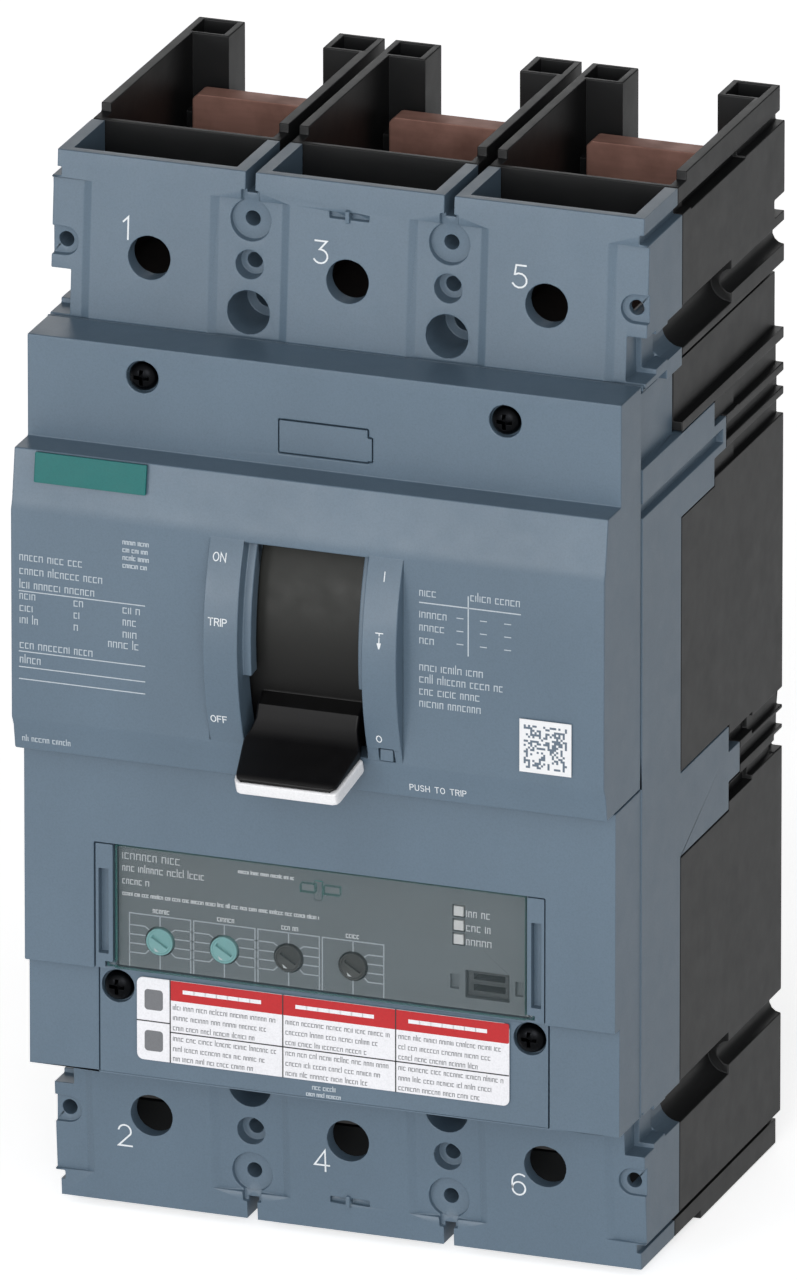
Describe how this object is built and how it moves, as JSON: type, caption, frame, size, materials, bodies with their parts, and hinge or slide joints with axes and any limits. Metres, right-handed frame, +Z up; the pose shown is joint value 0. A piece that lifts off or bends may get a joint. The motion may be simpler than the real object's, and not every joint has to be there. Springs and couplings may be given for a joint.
{
  "type": "molded case breaker",
  "caption": "Molded case circuit breaker with a swinging toggle handle, terminal bars at both ends and an electronic trip unit under a clear hinged cover.",
  "frame": {"origin": "centre of the flat back, on the mounting plane, at half height", "axes": "+Z up towards the line terminals, +Y into the mounting panel, so the handle faces -Y, and +X to the right seen from the front"},
  "size_m": [0.138, 0.1305, 0.248],
  "materials": {
    "black_moulding": "fine textured black moulding",
    "blue_grey_moulding": "fine textured blue-grey moulding",
    "grip_black": "satin black handle",
    "skirt_white": "satin white insert",
    "badge_teal": "blank teal badge",
    "label_white": "printed label film",
    "panel_grey": "grey trip unit panel",
    "dial_teal": "teal setting dial",
    "dial_dark": "dark setting dial",
    "lamp_white": "white light pipe",
    "port_dark": "dark test socket",
    "board_green": "lacquered circuit board",
    "clear_cover": "clear tinted plastic cover",
    "screw_black": "black cross-recess screw",
    "steel": "zinc plated steel",
    "trip_bar_tan": "moulded trip bar",
    "copper": "bare copper",
    "coil_brown": "taped winding"
  },
  "bodies": {
    "case": {"base_housing": "black_moulding", "mid_housing": "blue_grey_moulding", "front_cover": "blue_grey_moulding", "lower_plate": "blue_grey_moulding", "accessory_window": "blue_grey_moulding", "cover_rail_left": "blue_grey_moulding", "cover_rail_right": "blue_grey_moulding", "badge_plate": "badge_teal", "rating_label": "label_white", "code_plate": "label_white", "trip_unit_body": "panel_grey", "status_lamp_1": "lamp_white", "status_lamp_2": "lamp_white", "status_lamp_3": "lamp_white", "test_port": "port_dark", "circuit_board": "board_green", "cover_screw_left": "screw_black", "cover_screw_right": "screw_black", "plate_screw_left": "screw_black", "plate_screw_right": "screw_black", "mechanism_plate_left": "steel", "mechanism_plate_right": "steel", "cradle_pin": "steel", "cradle": "steel", "trip_magnet": "steel", "arc_chute_1": "steel", "arc_chute_2": "steel", "arc_chute_3": "steel", "line_terminal_1": "copper", "line_terminal_2": "copper", "line_terminal_3": "copper", "load_terminal_1": "copper", "load_terminal_2": "copper", "load_terminal_3": "copper", "current_transformer_1": "coil_brown", "current_transformer_2": "coil_brown", "current_transformer_3": "coil_brown"},
    "handle": {"handle_grip": "grip_black", "handle_skirt": "skirt_white", "handle_yoke": "steel"},
    "springs": {"main_spring_left": "steel", "main_spring_right": "steel"},
    "upper_link": {"toggle_link_upper": "steel"},
    "crossbar_body": {"crossbar": "black_moulding", "contact_arm_1": "copper", "contact_arm_2": "copper", "contact_arm_3": "copper"},
    "lower_link": {"toggle_link_lower": "steel"},
    "button": {"trip_button": "blue_grey_moulding"},
    "trip_bar_body": {"trip_bar": "trip_bar_tan"},
    "plunger": {"magnet_plunger": "steel"},
    "cover": {"trip_unit_cover": "clear_cover"},
    "dial_1": {"setting_dial_1": "dial_teal"},
    "dial_2": {"setting_dial_2": "dial_teal"},
    "dial_3": {"setting_dial_3": "dial_dark"},
    "dial_4": {"setting_dial_4": "dial_dark"}
  },
  "joints": [
    {"name": "handle_swing", "type": "hinge", "parent": "case", "child": "handle", "pos_m": [0, -0.0604, 0.02365], "axis": [-1, 0, 0], "range_deg": [0, 37]},
    {"name": "spring_swing", "type": "hinge", "parent": "handle", "child": "springs", "pos_m": [0, -0.0994, 0.00946], "axis": [1, 0, 0], "range_deg": [0, 17]},
    {"name": "upper_link_swing", "type": "hinge", "parent": "case", "child": "upper_link", "pos_m": [0, -0.082, 0.034], "axis": [1, 0, 0], "range_deg": [0, 47]},
    {"name": "crossbar_turn", "type": "hinge", "parent": "case", "child": "crossbar_body", "pos_m": [0, -0.034, 0.014], "axis": [-1, 0, 0], "range_deg": [0, 28.5]},
    {"name": "lower_link_swing", "type": "hinge", "parent": "crossbar_body", "child": "lower_link", "pos_m": [0, -0.04675, 0.02307], "axis": [1, 0, 0], "range_deg": [0, 3.5]},
    {"name": "button_press", "type": "slide", "parent": "case", "child": "button", "axis": [0, 1, 0], "range_m": [0, 0.002]},
    {"name": "trip_bar_turn", "type": "hinge", "parent": "case", "child": "trip_bar_body", "pos_m": [0, -0.072, -0.016], "axis": [-1, 0, 0], "range_deg": [0, 7]},
    {"name": "plunger_stroke", "type": "slide", "parent": "case", "child": "plunger", "axis": [0, 0, 1], "range_m": [0, 0.0015]},
    {"name": "cover_swing", "type": "hinge", "parent": "case", "child": "cover", "pos_m": [0, -0.1077, -0.0584], "axis": [1, 0, 0], "range_deg": [0, 100]},
    {"name": "dial_1_turn", "type": "hinge", "parent": "case", "child": "dial_1", "pos_m": [-0.0381, -0.106, -0.0526], "axis": [0, 1, 0], "range_deg": [-135, 135]},
    {"name": "dial_2_turn", "type": "hinge", "parent": "case", "child": "dial_2", "pos_m": [-0.0231, -0.106, -0.0526], "axis": [0, 1, 0], "range_deg": [-135, 135]},
    {"name": "dial_3_turn", "type": "hinge", "parent": "case", "child": "dial_3", "pos_m": [-0.0081, -0.106, -0.0526], "axis": [0, 1, 0], "range_deg": [-135, 135]},
    {"name": "dial_4_turn", "type": "hinge", "parent": "case", "child": "dial_4", "pos_m": [0.0069, -0.106, -0.0526], "axis": [0, 1, 0], "range_deg": [-135, 135]}
  ],
  "couplings": [
    {"joint": "spring_swing", "follows": "handle_swing", "ratio": 0.43956},
    {"joint": "upper_link_swing", "follows": "handle_swing", "ratio": 1.2473},
    {"joint": "crossbar_turn", "follows": "handle_swing", "ratio": 0.75676},
    {"joint": "lower_link_swing", "follows": "handle_swing", "ratio": 0.07905},
    {"joint": "trip_bar_turn", "follows": "button_press", "rad_per_m": 56}
  ]
}
